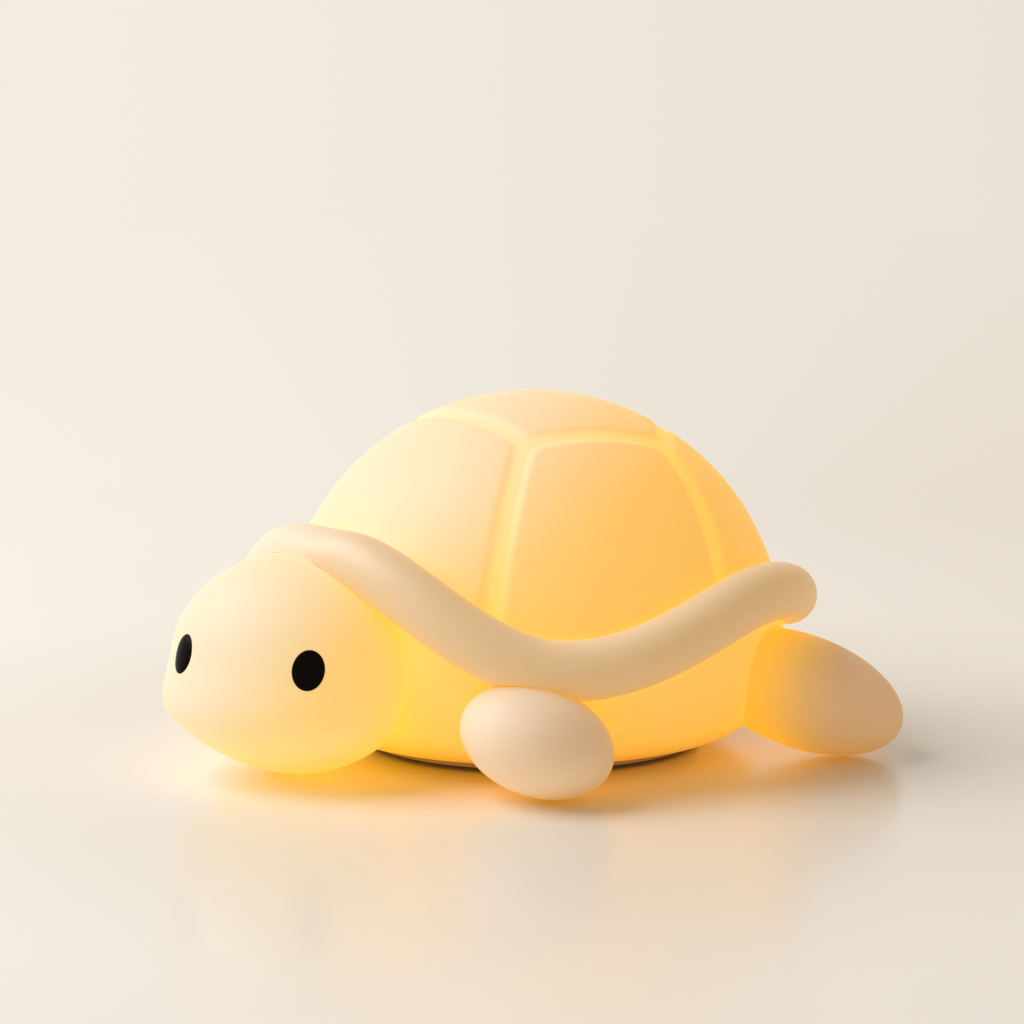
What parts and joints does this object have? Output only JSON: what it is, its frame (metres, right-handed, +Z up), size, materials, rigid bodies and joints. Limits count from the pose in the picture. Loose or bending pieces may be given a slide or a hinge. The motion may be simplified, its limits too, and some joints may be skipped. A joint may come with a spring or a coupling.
{
  "type": "turtle night light",
  "caption": "Squat silicone turtle lamp with a grooved dome shell, wavy rim band, round head, egg flippers, and a sealed rechargeable light base with a push button underneath.",
  "frame": {"origin": "middle of the foot pad's underside, on the surface that the lamp stands on, under the dome's axis", "axes": "+Z up along the dome's axis, -Y towards the head, +X towards the turtle's left side"},
  "size_m": [0.142, 0.1649, 0.084],
  "materials": {
    "shell_silicone": "translucent satin silicone, lit from inside",
    "cream_silicone": "opaque satin silicone",
    "eye_gloss": "polished black",
    "base_plastic": "fine moulded texture",
    "pad_rubber": "matt non-slip",
    "screw_steel": "zinc plated",
    "board_green": "solder mask",
    "chip_black": "moulded epoxy",
    "sensor_can": "drawn can",
    "plunger_plastic": "moulded",
    "button_plastic": "polished",
    "port_steel": "nickel plated",
    "battery_foil": "laminated foil",
    "tape_foam": "closed-cell foam",
    "plug_plastic": "moulded",
    "lead_red": "soft insulation",
    "lead_black": "soft insulation",
    "light_board": "white solder mask",
    "light_chip": "phosphor",
    "opal_plastic": "opal"
  },
  "bodies": {
    "lamp": {"shell_skin": "shell_silicone", "rim_band": "cream_silicone", "head_skin": "shell_silicone", "left_eye": "eye_gloss", "right_eye": "eye_gloss", "front_left_flipper": "cream_silicone", "front_right_flipper": "cream_silicone", "rear_left_flipper": "cream_silicone", "rear_right_flipper": "cream_silicone", "base_tray": "base_plastic", "foot_pad": "pad_rubber", "base_housing": "base_plastic", "base_screws": "screw_steel", "main_board": "board_green", "board_screws": "screw_steel", "board_chips": "chip_black", "tap_sensor": "sensor_can", "switch_body": "chip_black", "usb_shell": "port_steel", "usb_tongue": "chip_black", "battery": "battery_foil", "battery_tape": "tape_foam", "battery_plug": "plug_plastic", "battery_lead_red": "lead_red", "battery_lead_black": "lead_black", "led_board": "light_board", "led_screws": "screw_steel", "leds": "light_chip", "led_lead_red": "lead_red", "led_lead_black": "lead_black", "diffuser": "opal_plastic"},
    "button": {"power_button": "button_plastic", "switch_plunger": "plunger_plastic"}
  },
  "joints": [
    {"name": "button_press", "type": "slide", "parent": "lamp", "child": "button", "axis": [0, 0, 1], "range_m": [0, 0.0005], "stiffness_N_per_m": 1600, "springref_m": -0.0002}
  ]
}
